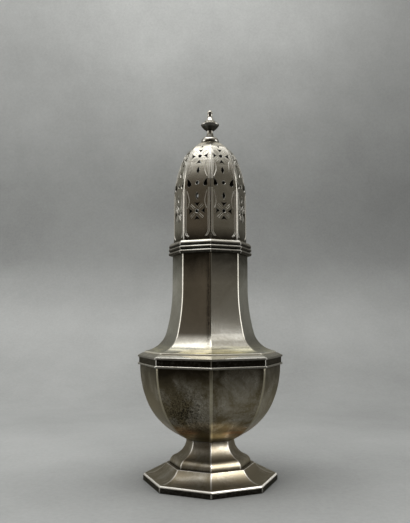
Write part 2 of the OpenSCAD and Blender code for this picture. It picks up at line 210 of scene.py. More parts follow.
def tarnishAndPaintedLightGroup():
    look = tarnishAndPaintedLightLook
    tree = newGroup("tarnishAndPaintedLight", tarnishAndPaintedLightInputs, {"Color": "Color", "Roughness": "Float", "Height": "Float"})
    calc, noise, ramp = (partial(make, tree) for make in (mathNode, noiseNode, rampNode))
    given = addNode(tree, "NodeGroupInput").outputs
    place = addNode(tree, "ShaderNodeTexCoord").outputs["Object"]
    parts = addNode(tree, "ShaderNodeSeparateXYZ", {"Vector": place}).outputs
    wornAndSheen, inner, grimeAndShading = (addNode(tree, "ShaderNodeAttribute", attribute_name=name).outputs["Fac"]
                          for name in ("edgeWearAndSheen", "inside", "grimeAndShading"))

    # a thin brown film in soft patches, mottled by finer specks, thicker where the piece is more tarnished
    patches = noise(place, given["Patch Size"], *look["patches"])
    specks = calc("SUBTRACT", noise(place, *look["specks"]), 0.5)
    mottle = calc("MULTIPLY_ADD", specks, look["speckShare"], patches)
    mottle = calc("MULTIPLY", calc("SUBTRACT", mottle, 0.5), look["mottle"])
    filmMask = calc("ADD", mottle, given["Film Amount"], clamp=True)

    # dark dirt where the surface is shut in, less where it is rubbed, and painted shade on the faces marked for
    # it, mostly those that look down
    shutIn = calc("SUBTRACT", 1.0, openSkyNode(tree, look["cornerReach"], samples=8))
    dirtAndShadingMask = ramp(calc("MULTIPLY_ADD", specks, look["cornerSpecks"], shutIn), look["cornerRamp"])
    dirtAndShadingMask = calc("MULTIPLY", dirtAndShadingMask, given["Dirt Reach"], clamp=True)
    dirtAndShadingMask = calc("MULTIPLY", dirtAndShadingMask, calc("MULTIPLY_ADD", wornAndSheen, -look["rubbedClean"], 1.0))
    grimeAndShading = calc("MULTIPLY_ADD", calc("MULTIPLY", specks, grimeAndShading), look["grimeAndShadingSpecks"], grimeAndShading)
    dirtAndShadingMask = calc("MAXIMUM", dirtAndShadingMask, grimeAndShading, clamp=True)

    # painted shadow: a soft darkening beside the mouldings and near the floor, where they shut out the light,
    # and dark bands of painted shade at given levels
    unrest = calc("SUBTRACT", patches, 0.5)
    paintedShadow = calc("SUBTRACT", 1.0, openSkyNode(tree, look["paintedShadowReach"], samples=6))
    paintedShadow = ramp(calc("MULTIPLY_ADD", unrest, look["paintedShadowPatches"], paintedShadow), look["paintedShadowRamp"])
    paintedShadow = calc("MULTIPLY", paintedShadow, given["Painted Shadow Spread"])
    uneven = calc("MULTIPLY_ADD", unrest, look["bandPatches"], 1.0)

    def nearMask(distance, reach):
        share = calc("DIVIDE", distance, calc("MAXIMUM", reach, look["leastSize"]))
        return calc("SUBTRACT", 1.0, share, clamp=True)

    def bandMask(level, depth):
        away = calc("ABSOLUTE", calc("SUBTRACT", parts["Z"], level))
        return calc("MULTIPLY", nearMask(away, depth), uneven, clamp=True)

    paintedShadowBand = calc("MULTIPLY", bandMask(given["Painted Shadow Level"], given["Painted Shadow Depth"]), look["bandMost"])
    paintedShadow = calc("MAXIMUM", paintedShadow, paintedShadowBand)
    # painted sheen: streaked bands at given levels that paint reflections into the colour, copper low on the
    # bowl, pale on the flare and high on the dome
    flat = addNode(tree, "ShaderNodeMapping", {"Vector": place, "Scale": look["streakStretch"]})
    streaks = ramp(noise(flat.outputs["Vector"], *look["streaks"]), look["streakRamp"])
    paintedSheen = calc("MULTIPLY", bandMask(given["Painted Sheen Level"], given["Painted Sheen Depth"]), streaks)
    beyondGap = calc("SUBTRACT", calc("ABSOLUTE", parts["X"]), given["Painted Sheen Gap"])
    paintedSheen = calc("MULTIPLY", paintedSheen, calc("DIVIDE", beyondGap, look["gapFade"], clamp=True))

    # one stained patch with dark pin spots
    fromStain = vectorNode(tree, "SUBTRACT", place, given["Stain Place"])
    fromStain = vectorNode(tree, "MULTIPLY", fromStain, given["Stain Stretch"])
    nearStain = nearMask(vectorNode(tree, "LENGTH", fromStain), given["Stain Size"])
    grains = noise(place, *look["grains"])
    spots = ramp(calc("MULTIPLY_ADD", specks, look["grainSpecks"], grains), look["spotRamp"])
    stainMask = calc("MULTIPLY", calc("ADD", spots, look["stainBase"]), nearStain)
    stainMask = calc("MULTIPLY", stainMask, look["stainStrength"], clamp=True)

    # the colour takes the film, painted sheen, painted shadow, the stain, rubbed wear with some painted
    # highlight, dirt with painted shade, and painted shade inside
    colour = given["Silver"]
    for mask, tint in ((filmMask, "Film"), (paintedSheen, "Painted Sheen"), (paintedShadow, "Painted Shadow And Stain"), (stainMask, "Painted Shadow And Stain"),
                       (wornAndSheen, "Worn And Sheen"), (dirtAndShadingMask, "Dirt And Shading"), (inner, "Inner Shading")):
        colour = mixColour(tree, mask, colour, given[tint])

    rough = given["Polish"]
    rubbed = calc("POWER", wornAndSheen, look["wornPower"])
    for mask, key in ((filmMask, "filmRough"), (dirtAndShadingMask, "dirtAndShadingRough"), (inner, "innerRough"),
                      (rubbed, "wornRough")):
        rough = calc("MULTIPLY_ADD", mask, look[key], rough)

    # planishing waves, and hairline scratches from polishing
    waves = calc("MULTIPLY", noise(place, *look["waves"]), look["waveHeight"])
    stretch = addNode(tree, "ShaderNodeMapping", {"Vector": place, "Scale": look["scratchStretch"],
                                                  "Rotation": look["scratchTurn"]})
    scratches = noise(stretch.outputs["Vector"], *look["scratches"])
    height = calc("MULTIPLY_ADD", scratches, look["scratchHeight"], waves)
    addNode(tree, "NodeGroupOutput", {"Color": colour, "Roughness": rough, "Height": height})
    return tree


tarnishAndPaintedLight = tarnishAndPaintedLightGroup()

# levels, depths, gaps, places and the size of a stain are in metres
# the painted shadow levels darken the bowl below the girdle, the neck under its rim and the dome at its foot;
# the painted sheen levels light the flare, the bowl's base and the dome's upper panels
silverFinishes = {
    "neck silver": {
        "Film Amount": 0.25, "Dirt Reach": 0.3, "Patch Size": 55.0, "Silver": (0.57, 0.555, 0.505),
        "Worn And Sheen": (0.78, 0.75, 0.66), "Painted Shadow And Stain": (0.018, 0.015, 0.01), "Edge Tint": (0.88, 0.86, 0.78),
        "Painted Shadow Spread": 0.15, "Painted Shadow Level": 0.1055, "Painted Shadow Depth": 0.0135,
        "Painted Sheen": (0.95, 0.9, 0.64), "Painted Sheen Level": 0.0605, "Painted Sheen Depth": 0.003,
        "Stain Place": (-0.0008, -0.0195, 0.085), "Stain Stretch": (1, 0.2, 0.04), "Stain Size": 0.0016},
    "bowl silver": {
        "Film Amount": 0.9, "Dirt Reach": 0.9, "Patch Size": 70.0, "Polish": 0.2,
        "Film": (0.168, 0.139, 0.083), "Worn And Sheen": (0.54, 0.5, 0.38), "Painted Shadow And Stain": (0.012, 0.01, 0.008),
        "Painted Shadow Level": 0.0535, "Painted Shadow Depth": 0.0165,
        "Painted Sheen Level": 0.0245, "Painted Sheen Depth": 0.0035, "Painted Sheen Gap": 0.0045,
        "Stain Place": (-0.0115, -0.0245, 0.0335), "Stain Size": 0.0195},
    "foot silver": {
        "Film Amount": 0.9, "Dirt Reach": 0.9, "Patch Size": 80.0, "Polish": 0.27,
        "Film": (0.21, 0.182, 0.13)},
    "moulding silver": {
        "Film Amount": 0.1, "Dirt Reach": 1.0, "Patch Size": 90.0, "Silver": (0.78, 0.76, 0.7),
        "Painted Shadow And Stain": (0.4, 0.38, 0.33)},
    "girdle silver": {
        "Film Amount": 0.05, "Dirt Reach": 0.3, "Patch Size": 90.0, "Silver": (0.84, 0.82, 0.75),
        "Worn And Sheen": (0.86, 0.84, 0.78), "Painted Shadow And Stain": (0.55, 0.52, 0.45)},
    "dome silver": {
        "Film Amount": 0.47, "Dirt Reach": 0.8, "Patch Size": 70.0, "Worn And Sheen": (0.84, 0.82, 0.76),
        "Painted Shadow And Stain": (0.03, 0.026, 0.02), "Painted Shadow Level": 0.112, "Painted Shadow Depth": 0.006,
        "Painted Sheen": (0.8, 0.78, 0.7), "Painted Sheen Level": 0.1515, "Painted Sheen Depth": 0.009},
    "bezel silver": {"Film Amount": 0.7, "Dirt Reach": 0.6, "Patch Size": 70.0},
    "finial silver": {
        "Film Amount": 0.1, "Dirt Reach": 1.0, "Patch Size": 160.0, "Polish": 0.09,
        "Silver": (0.7, 0.68, 0.62), "Edge Tint": (0.3, 0.28, 0.24)},
}
plainEdgeTint = (0.74, 0.71, 0.64)
surfaceBump = {"Strength": 0.5, "Distance": 1.0 * mm}

finishOf = {
    "foot_rim": "moulding silver", "pedestal_foot": "foot silver", "bowl": "bowl silver",
    "girdle_moulding": "girdle silver", "neck": "neck silver", "neck_rim": "moulding silver",
    "cover_bezel": "bezel silver", "cover_rim": "moulding silver", "pierced_dome": "dome silver",
    "finial_collar": "finial silver", "finial": "finial silver",
}


def silverMaterial(name, values):
    material, tree, shader = newMaterial(name)
    finish = addNode(tree, "ShaderNodeGroup", node_tree=tarnishAndPaintedLight)
    feed(tree, finish, {key: value for key, value in values.items() if key != "Edge Tint"})
    bump = addNode(tree, "ShaderNodeBump", {"Height": finish.outputs["Height"], **surfaceBump})
    feed(tree, shader, {"Base Color": finish.outputs["Color"], "Roughness": finish.outputs["Roughness"],
                        "Metallic": 1.0, "Specular Tint": values.get("Edge Tint", plainEdgeTint),
                        "Normal": bump.outputs["Normal"]})
    return material


silvers = {name: silverMaterial(name, values) for name, values in silverFinishes.items()}
print("silver finishes:", len(silvers))


# making a piece from a bmesh, in the place of its node

def bodyOf(node):
    return next(body for body, nodes in record["behaviour"]["bodies"].items() if node in nodes)


def newObject(name, bm):
    mesh = bpy.data.meshes.new(name)
    bm.to_mesh(mesh)
    bm.free()
    obj = bpy.data.objects.new(name, mesh)
    scene.collection.objects.link(obj)
    return obj


def placePiece(obj, node):
    obj.data.materials.clear()
    obj.data.materials.append(silvers[finishOf[node]])
    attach(obj, bodyOf(node))
    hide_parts(node)
    print("piece", obj.name, "faces", len(obj.data.polygons))
    return obj


def smoothFaces(obj, sharpAngle=40):
    obj.data.shade_smooth()
    obj.data.set_sharp_from_angle(angle=radians(sharpAngle))


# how worn and how shaded the faces of a piece are, from 0 to 1, the shading being painted shade; a lean of 1
# faces up and -1 faces down
wearing = {"arris": 0.5, "edge": 0.8, "roundEdge": 0.6, "arrisAngle": 3, "edgeAngle": 32,
           "roundEdgeAngle": 40, "arrisSegments": 4, "edgeSegments": 2, "arrisShading": 0.45,
           "insideLean": -0.3}
mergeGap = 0.001 * mm
sameLine = 1e-10         # an edge whose ends turn less than this about the axis runs along the outline


def turnOutline(outline, steps, share=1.0, closed=True):
    bm = bmesh.new()
    line = [bm.verts.new((x * share * mm, 0, z * mm)) for x, z in outline]
    edges = [bm.edges.new(pair) for pair in zip(line, line[1:])]
    if closed:
        edges.append(bm.edges.new((line[-1], line[0])))
    bmesh.ops.spin(bm, geom=line + edges, cent=(0, 0, 0), axis=(0, 0, 1), angle=2 * pi, steps=steps,
                   use_merge=True)
    bmesh.ops.remove_doubles(bm, verts=bm.verts, dist=mergeGap)
    bmesh.ops.dissolve_degenerate(bm, edges=bm.edges, dist=mergeGap)
    bmesh.ops.recalc_face_normals(bm, faces=bm.faces)
    return bm


def sharpEdges(bm, angle):
    return [edge for edge in bm.edges
            if len(edge.link_faces) == 2 and edge.calc_face_angle_signed(0) > radians(angle)]


def outerArrises(bm):
    found = []
    for edge in sharpEdges(bm, wearing["arrisAngle"]):
        a, b = (vert.co for vert in edge.verts)
        if abs(a.x * b.y - a.y * b.x) < sameLine:
            found.append(edge)
    return found


def bevelEdges(bm, edges, width, segments):
    return bmesh.ops.bevel(bm, geom=edges, offset=width * mm, offset_type="OFFSET", segments=segments,
                           profile=0.5, affect="EDGES", clamp_overlap=True, material=-1)


def cleanFace(z, lean):
    return 0.0


def grimeAndShadingBelow(start, fall, most):
    # painted shade: most where a face looks down, less as it turns up
    return lambda z, lean: min(max(start - fall * lean, 0.0), most)


def softenOctagon(bm, arrisWidth, edgeWidth, grimeAndShadingAt=cleanFace, wearAndSheenAt=cleanFace):
    wearAndSheen, inside, grimeAndShading = (bm.faces.layers.float.new(name) for name in ("edgeWearAndSheen", "inside", "grimeAndShading"))
    for face in bevelEdges(bm, outerArrises(bm), arrisWidth, wearing["arrisSegments"])["faces"]:
        face[wearAndSheen] = wearing["arris"]
    if edgeWidth:
        edges = sharpEdges(bm, wearing["edgeAngle"])
        for face in bevelEdges(bm, edges, edgeWidth, wearing["edgeSegments"])["faces"]:
            face[wearAndSheen] = wearing["edge"]
    for face in bm.faces:
        centre, normal = face.calc_center_median(), face.normal
        outward = normal.x * centre.x + normal.y * centre.y
        # faces turned in towards the axis take the dark inner colour: painted shade inside the hollow
        if outward < wearing["insideLean"] * hypot(centre.x, centre.y):
            face[inside] = 1.0
        share = wearing["arrisShading"] if face[wearAndSheen] == wearing["arris"] else 1.0
        face[grimeAndShading] = grimeAndShadingAt(centre.z / mm, normal.z) * share
        face[wearAndSheen] = max(face[wearAndSheen], wearAndSheenAt(centre.z / mm, normal.z))
    return bm


def octagonPiece(name, node, outline, values, closed=True, grimeAndShadingAt=cleanFace, wearAndSheenAt=cleanFace):
    bm = turnOutline(outline, sides, cornerShare, closed)
    obj = newObject(name, softenOctagon(bm, values["arris"], values["edge"], grimeAndShadingAt, wearAndSheenAt))
    smoothFaces(obj)
    flatPanels = obj.modifiers.new("flat panels", "WEIGHTED_NORMAL")
    flatPanels.keep_sharp = True
    flatPanels.weight = 90
    return placePiece(obj, node)


def bandOutline(node, thickness):
    half, low, top = spanOf(node)
    return [(half - thickness, low), (half, low), (half, top), (half - thickness, top)]


# foot

foot = {
    "rimThickness": 1.7, "sheet": 0.8, "plinthRise": 4.9, "ledge": 1.7, "stemFoot": 17.7, "riser": 0.5,
    "toeRadius": 3.5, "waist": 10.5, "brimRounding": 0.65, "arris": 0.4, "edge": 0.3,
    "hollowSteps": 14, "toeSteps": 10, "waistSteps": 16, "brimSteps": 6,
    "rimDarkening": 0.96, "rimDarkeningLean": 0.4, "brimWornLean": (0.05, 0.98), "brimWornGap": 0.01,
}


def makeFootRim():
    # the rim is painted dark everywhere except where it faces up
    octagonPiece("footRim", "foot_rim", bandOutline("foot_rim", foot["rimThickness"]), foot,
                 grimeAndShadingAt=lambda z, lean: foot["rimDarkening"] if lean < foot["rimDarkeningLean"] else 0.0)


def footFace(inset):
    brimZ = lowOf("pedestal_foot") + foot["sheet"]
    brimIn = halfWidthOf("foot_rim") - foot["rimThickness"]
    plinthZ = brimZ + foot["plinthRise"]
    plinthHalf = foot["stemFoot"] + foot["ledge"]
    stemTop = topOf("pedestal_foot")
    hollow = tangentRadius(foot["plinthRise"], brimIn - plinthHalf)
    hollowAngle = degrees(asin((brimIn - plinthHalf) / hollow))
    ogeeWidth = foot["stemFoot"] - foot["waist"]
    ogeeHeight = stemTop - plinthZ - foot["riser"]
    ogeeAngle = degrees(2 * atan2(ogeeWidth, ogeeHeight))
    waistRadius = tangentRadius(ogeeWidth, ogeeHeight) - foot["toeRadius"]
    waistCentre = (foot["waist"] + waistRadius, stemTop)
    toeCentre = (foot["stemFoot"] - foot["toeRadius"], plinthZ + foot["riser"])
    return (arcPoints((brimIn, brimZ + hollow), hollow + inset, -90, -90 - hollowAngle, foot["hollowSteps"])
            + [(foot["stemFoot"] - inset, plinthZ - inset)]
            + arcPoints(toeCentre, foot["toeRadius"] - inset, 0, ogeeAngle, foot["toeSteps"])
            + arcPoints(waistCentre, waistRadius + inset, 180 + ogeeAngle, 180, foot["waistSteps"])[1:])


def makePedestalFoot():
    brim, low = halfWidthOf("pedestal_foot"), lowOf("pedestal_foot")
    lip = foot["brimRounding"]
    lipTop = low + foot["sheet"]
    rounding = arcPoints((brim - lip, lipTop - lip), lip, 0, 90, foot["brimSteps"])
    outline = [(brim, low)] + rounding + footFace(0) + footFace(foot["sheet"])[::-1]

    def wearAndSheenAt(z, lean):
        least, most = foot["brimWornLean"]
        return 1.0 if z < lipTop - foot["brimWornGap"] and least < lean < most else 0.0

    return octagonPiece("pedestalFoot", "pedestal_foot", outline, foot, wearAndSheenAt=wearAndSheenAt)


makeFootRim()
footPiece = makePedestalFoot()


# bowl

bowl = {"sheet": 0.9, "footHalf": 10.9, "turnAngle": 21.7, "footAngle": 68.5, "arris": 0.7, "edge": 0.15,
        "arcSteps": (14, 24)}


def makeBowl():
    half, low, top = spanOf("bowl")
    floorZ, turn = low + bowl["sheet"], -bowl["turnAngle"]
    radii = twoArcRadii(half - bowl["footHalf"], top - low, bowl["turnAngle"], bowl["footAngle"])
    sideCentre = (half - radii[0], top)
    bellyZ = tightCentre(sideCentre, radii, turn)[1]
    insideAngle = degrees(asin((bellyZ - floorZ) / (radii[1] - bowl["sheet"])))
    outside, inside = (twoArcs(sideCentre, radii, inset, (0, turn, -end), bowl["arcSteps"])
                       for inset, end in ((0, bowl["footAngle"]), (-bowl["sheet"], insideAngle)))
    outline = [(0, low)] + outside[::-1] + inside + [(0, floorZ)]
    octagonPiece("bowl", "bowl", outline, bowl, closed=False)


makeBowl()


# girdle between bowl and neck

girdle = {"bead": 0.55, "bandHeight": 2.6, "bandDepth": 0.6, "fillet": 0.8, "shelfRise": 1.2,
          "shelfWidth": 2.9, "seat": 0.9, "lip": 0.72, "arris": 0.28, "edge": 0.22, "beadSteps": 10,
          "bandGrime": 1.0, "sideShading": 0.75, "sideLean": 0.3}


def makeGirdle():
    low, half = lowOf("girdle_moulding"), halfWidthOf("girdle_moulding")
    beadCentre = (half - girdle["bead"], low + girdle["bead"])
    bead = arcPoints(beadCentre, girdle["bead"], -90, 90, girdle["beadSteps"])
    bandLow = low + 2 * girdle["bead"]
    bandTop = bandLow + girdle["bandHeight"]
    bandHalf = half - girdle["bandDepth"]
    edgeTop = bandTop + girdle["fillet"]
    shelfTop = edgeTop + girdle["shelfRise"]
    flareHalf = half - girdle["shelfWidth"]
    inner = flareHalf - girdle["seat"]
    outline = bead + [(bandHalf, bandLow), (bandHalf, bandTop), (half, bandTop), (half, edgeTop),
                      (flareHalf + girdle["lip"], shelfTop), (inner, shelfTop), (inner, low)]

    # the recessed band is dark with grime; the faces that do not look up take painted shade
    def grimeAndShadingAt(z, lean):
        if bandLow < z < bandTop:
            return girdle["bandGrime"]
        return girdle["sideShading"] if lean < girdle["sideLean"] else 0.0

    octagonPiece("girdleMoulding", "girdle_moulding", outline, girdle, grimeAndShadingAt=grimeAndShadingAt)


makeGirdle()


# neck and its reeded rim

neck = {"half": 17.0, "straight": 19.4, "turnAngle": 14.0, "flareAngle": 82.0, "sheet": 0.9, "lip": 0.72,
        "arris": 0.52, "edge": 0.16, "arcSteps": (12, 22)}
neckRim = {"reed": 0.95, "reeds": 2, "backing": 0.85, "arris": 0.25, "edge": 0, "reedSteps": 12,
           "grimeAndShading": (0.85, 1.9, 0.95)}


def makeNeck():
    flareHalf, low, top = spanOf("neck")
    flareZ = low + neck["lip"]
    straightZ = top - neck["straight"]
    turn = 180 + neck["turnAngle"]
    radii = twoArcRadii(flareHalf - neck["half"], straightZ - flareZ, neck["turnAngle"], neck["flareAngle"])
    waistCentre = (neck["half"] + radii[0], straightZ)
    flareCentreZ = tightCentre(waistCentre, radii, turn)[1]
    insideAngle = degrees(asin((flareCentreZ - low) / (radii[1] + neck["sheet"])))
    outside, inside = ([(neck["half"] - inset, top)]
                       + twoArcs(waistCentre, radii, inset, (180, turn, 180 + end), neck["arcSteps"])
                       for inset, end in ((0, neck["flareAngle"]), (neck["sheet"], insideAngle)))
    # the lip below the flare takes full wear: a painted highlight that keeps it as light as the flare
    return octagonPiece("neck", "neck", outside + [(flareHalf, low)] + inside[::-1], neck,
                        wearAndSheenAt=lambda z, lean: 1.0 if z < flareZ else 0.0)


def makeNeckRim():
    top, reed = topOf("neck_rim"), neckRim["reed"]
    backing = neck["half"] + neckRim["backing"]
    reedZ = [top - (2 * i + 1) * reed for i in reversed(range(neckRim["reeds"]))]
    reeds = [point for z in reedZ for point in arcPoints((backing, z), reed, -90, 90, neckRim["reedSteps"])]
    outline = [(neck["half"], lowOf("neck_rim"))] + reeds + [(neck["half"], top)]
    octagonPiece("neckRim", "neck_rim", outline, neckRim, grimeAndShadingAt=grimeAndShadingBelow(*neckRim["grimeAndShading"]))


neckPiece = makeNeck()
makeNeckRim()


# cover: sleeve, rim and pierced dome

bezel = {"sheet": 0.7, "arris": 0.25, "edge": 0.15}
coverRim = {"edgeHeight": 0.6, "step": 0.3, "proud": 2.1, "arris": 0.28, "edge": 0.12, "ovoloSteps": 12,
            "grimeAndShading": (1.05, 2.6, 0.95)}
dome = {"sheet": 0.8, "wall": 21.0, "crownHalf": 3.7, "turnAngle": 21.6, "crownAngle": 68.0, "tangHole": 0.85,
        "arris": 0.5, "arcSteps": (18, 20)}


def makeBezel():
    octagonPiece("coverBezel", "cover_bezel", bandOutline("cover_bezel", bezel["sheet"]), bezel)


def makeCoverRim():
    half, low, top = spanOf("cover_rim")
    inner = halfWidthOf("cover_bezel")
    edgeTop = low + coverRim["edgeHeight"]
    height = top - edgeTop
    radius = tangentRadius(coverRim["proud"] - coverRim["step"], height)
    endAngle = degrees(asin(height / radius))
    ovolo = arcPoints((half - radius, edgeTop), radius, 0, endAngle, coverRim["ovoloSteps"])
    octagonPiece("coverRim", "cover_rim", [(inner, low), (half, low)] + ovolo + [(inner, top)], coverRim,
                 grimeAndShadingAt=grimeAndShadingBelow(*coverRim["grimeAndShading"]))


makeBezel()
makeCoverRim()

domeHalf, domeLow, crownZ = spanOf("pierced_dome")
wallTop = domeLow + dome["wall"]
domeRadii = twoArcRadii(domeHalf - dome["crownHalf"], crownZ - wallTop, dome["turnAngle"], dome["crownAngle"])
capCentre = (domeHalf - domeRadii[0], wallTop)
crownCentre = tightCentre(capCentre, domeRadii, dome["turnAngle"])
turnZ = wallTop + domeRadii[0] * sin(radians(dome["turnAngle"]))


def domeFace(inset):
    angles = (0, dome["turnAngle"], dome["crownAngle"])
    return [(domeHalf - inset, domeLow)] + twoArcs(capCentre, domeRadii, -inset, angles, dome["arcSteps"])


def domeAt(z):
    # half width of the dome, and the slope of its panels
    if z <= wallTop:
        return domeHalf, 0.0
    centre, radius = (capCentre, domeRadii[0]) if z <= turnZ else (crownCentre, domeRadii[1])
    slope = asin(min((z - centre[1]) / radius, 1.0))
    return centre[0] + radius * cos(slope), slope


def panelFrame(z):
    half, slope = domeAt(z)
    normal = Vector((cos(slope), 0, sin(slope)))
    upward = Vector((-sin(slope), 0, cos(slope)))
    local = Matrix((Vector((0, 1, 0)), upward, normal)).transposed().to_4x4()
    local.translation = Vector((half, 0, z))
    return Matrix.Diagonal((mm, mm, mm, 1)) @ Matrix.Rotation(halfTurn, 4, "Z") @ local


# piercing of one panel, in millimetres, each outline drawn across and up from the motif's middle

piercing = {
    # middles of the motifs, from the top of the wall
    "lowerRosette": -7.6, "lowerLozenge": -0.4, "commas": 5.2, "roundel": 5.9, "upperLozenge": 12.1,
    # and from the crown
    "upperRosette": -10.0, "topLozenge": -4.6,
    "lowerShare": 1.07, "upperShare": 1.08, "eye": 0.8, "roundelRadius": 0.85,
    "dartLength": 2.1, "dartWidth": 3.0, "dartNotch": 0.55, "dartReach": 2.0, "dartSide": -0.08,
    "dartBack": -0.12,
    "lozengeLength": 3.3, "lozengeWidth": 1.5, "lozengeBulge": 0.1, "lozengeSteps": 4,
    "topShare": 0.45, "topWide": 1.5,
    "commaBulb": 1.0, "commaTail": 3.2, "commaBend": 3.6, "commaOffset": 4.1, "commaSteps": 8,
    "depth": 1.7, "chamfer": 0.24, "chamferShare": 0.16, "lift": 0.3, "undercut": 1.12,
}


def roundOutline(radius, steps=20):
    return [(radius * cos(2 * pi * i / steps), radius * sin(2 * pi * i / steps)) for i in range(steps)]


def curvedEdge(start, end, bulge, steps=6):
    across = Vector((end[1] - start[1], start[0] - end[0])).normalized()
    points = []
    for i in range(steps):
        t = i / steps
        middle = Vector(start).lerp(Vector(end), t)
        points.append(tuple(middle + across * bulge * 4 * t * (1 - t)))
    return points


def dartOutline(quarter):
    reach, length, half = piercing["dartReach"], piercing["dartLength"], piercing["dartWidth"] / 2
    tip, right, left = (0, reach), (half, reach + length), (-half, reach + length)
    notch = (0, reach + length - piercing["dartNotch"])
    side, back = piercing["dartSide"], piercing["dartBack"]
    outline = (curvedEdge(tip, right, side) + curvedEdge(right, notch, back)
               + curvedEdge(notch, left, back) + curvedEdge(left, tip, side))
    c, s = cos(quarter * pi / 2), sin(quarter * pi / 2)
    return [(u * c - v * s, u * s + v * c) for u, v in outline]


def lozengeOutline(share=1.0):
    long, wide = share * piercing["lozengeLength"] / 2, share * piercing["lozengeWidth"] / 2
    bulge, steps = share * piercing["lozengeBulge"], piercing["lozengeSteps"]
    corners = [(0, -long), (wide, 0), (0, long), (-wide, 0)]
    ends = zip(corners, corners[1:] + corners[:1])
    return [point for a, b in ends for point in curvedEdge(a, b, bulge, steps)]


def commaOutline(side):
    bulb, bend, steps = piercing["commaBulb"], piercing["commaBend"], piercing["commaSteps"]
    tailAngle = piercing["commaTail"] / bend
    lower = [(bulb * cos(radians(a)), bulb * sin(radians(a))) for a in range(180, 360, 20)]
    outer, inner = [], []
    for i in range(steps + 1):
        t = i / steps
        spine = Vector((bend * (1 - cos(t * tailAngle)), bend * sin(t * tailAngle)))
        across = Vector((cos(t * tailAngle), -sin(t * tailAngle))) * bulb * (1 - t)
        outer.append(tuple(spine + across))
        inner.append(tuple(spine - across))
    outline = lower + outer + inner[-2:0:-1]
    shifted = [(side * (u + piercing["commaOffset"]), v) for u, v in outline]
    return shifted[::-1] if side < 0 else shifted


def panelMotifs():
    rosette = [roundOutline(piercing["eye"])] + [dartOutline(quarter) for quarter in range(4)]
    motifs = []
    for middleZ, share in ((wallTop + piercing["lowerRosette"], piercing["lowerShare"]),
                           (crownZ + piercing["upperRosette"], piercing["upperShare"])):
        motifs += [(middleZ, [(u * share, v * share) for u, v in outline]) for outline in rosette]
    motifs += [(wallTop + piercing[key], lozengeOutline()) for key in ("lowerLozenge", "upperLozenge")]
    topLozenge = [(u * piercing["topWide"], v) for u, v in lozengeOutline(piercing["topShare"])]
    motifs.append((crownZ + piercing["topLozenge"], topLozenge))
    motifs.append((wallTop + piercing["roundel"], roundOutline(piercing["roundelRadius"])))
    motifs += [(wallTop + piercing["commas"], commaOutline(side)) for side in (-1, 1)]
    return motifs


def onlyKind(kind, items):
    return [item for item in items if isinstance(item, kind)]


def drawOut(bm, face, keep=False):
    extruded = bmesh.ops.extrude_face_region(bm, geom=[face])
    if not keep:
        bmesh.ops.delete(bm, geom=[face], context="FACES_ONLY")
    return onlyKind(bmesh.types.BMFace, extruded["geom"])[0], onlyKind(bmesh.types.BMVert, extruded["geom"])


def widenAbout(centre, share):
    middle = Matrix.Translation((*centre, 0))
    return middle @ Matrix.Diagonal((share, share, 1, 1)) @ middle.inverted()


def addHole(bm, z, outline):
    # the cutter narrows from above the sheet to the foot of its chamfer, then widens a little inwards
    centre = [sum(values) / len(outline) for values in zip(*outline)]
    size = max(hypot(u - centre[0], v - centre[1]) for u, v in outline)
    chamfer, lift = min(piercing["chamfer"], piercing["chamferShare"] * size), piercing["lift"]
    above, surface, below = (panelFrame(z) @ Matrix.Translation((0, 0, rise))
                             for rise in (lift, -chamfer, -piercing["depth"]))
    above = above @ widenAbout(centre, 1 + (chamfer + lift) / size)
    below = below @ widenAbout(centre, piercing["undercut"])
    face = bm.faces.new([bm.verts.new(above @ Vector((u, v, 0))) for u, v in outline])
    face, verts = drawOut(bm, face, keep=True)
    bmesh.ops.transform(bm, matrix=surface @ above.inverted(), verts=verts)
    face, verts = drawOut(bm, face)
    bmesh.ops.transform(bm, matrix=below @ surface.inverted(), verts=verts)


# engraved lines of one panel, in millimetres

engraving = {
    "halfWidth": 0.26, "depth": 0.16, "lift": 0.06, "steps": 7,
    # straps beside the arris, as (share of the strap's inset, more inset, height above the wall's top)
    "strapInsets": (0.62, 1.3),
    "lowerStrap": ((1, 1.5, -19.6), (1.05, 0, -17.2), (1, 0, -12.0), (1, 0, -4.0), (1, -0.3, 3.4)),
    "upperStrap": ((1, -0.3, 7.6), (1, 0, 13.0), (1, 0, 18.5), (0.9, 0, 23.5)),
    # leaves, as (distance in from the arris, height above the wall's top)
    "lowerLeaf": ((1.75, 2.2), (2.32, 0.2), (2.9, -2.4), (2.61, -4.6), (1.95, -6.4)),
    "upperLeaf": ((1.75, 8.8), (2.32, 10.3), (2.9, 12.4), (2.61, 14.8), (1.95, 17.0)),
    # double crosses between the darts, from the rosette's middle
    "crossInner": 1.5, "crossOuter": 4.4, "crossGap": 0.4, "crossHalfWidth": 0.18,
}


def domePoint(u, z, lift):
    half, slope = domeAt(z)
    return half + lift * cos(slope), u, z + lift * sin(slope)


def smoothLine(points, steps):
    line = []
    last = len(points) - 1
    for i in range(last):
        before, start, end, after = (Vector(points[min(max(k, 0), last)]) for k in range(i - 1, i + 3))
        slope = end - before
        bend = 2 * before - 5 * start + 4 * end - after
        twist = 3 * start - before - 3 * end + after
        for t in (j / steps for j in range(steps)):
            line.append(0.5 * (2 * start + slope * t + bend * t ** 2 + twist * t ** 3))
    return line + [Vector(points[last])]


def strapLines():
    straps = [[(inset * share + more, height) for share, more, height in engraving[key]]
              for inset in engraving["strapInsets"] for key in ("lowerStrap", "upperStrap")]
    return straps + [engraving["lowerLeaf"], engraving["upperLeaf"]]


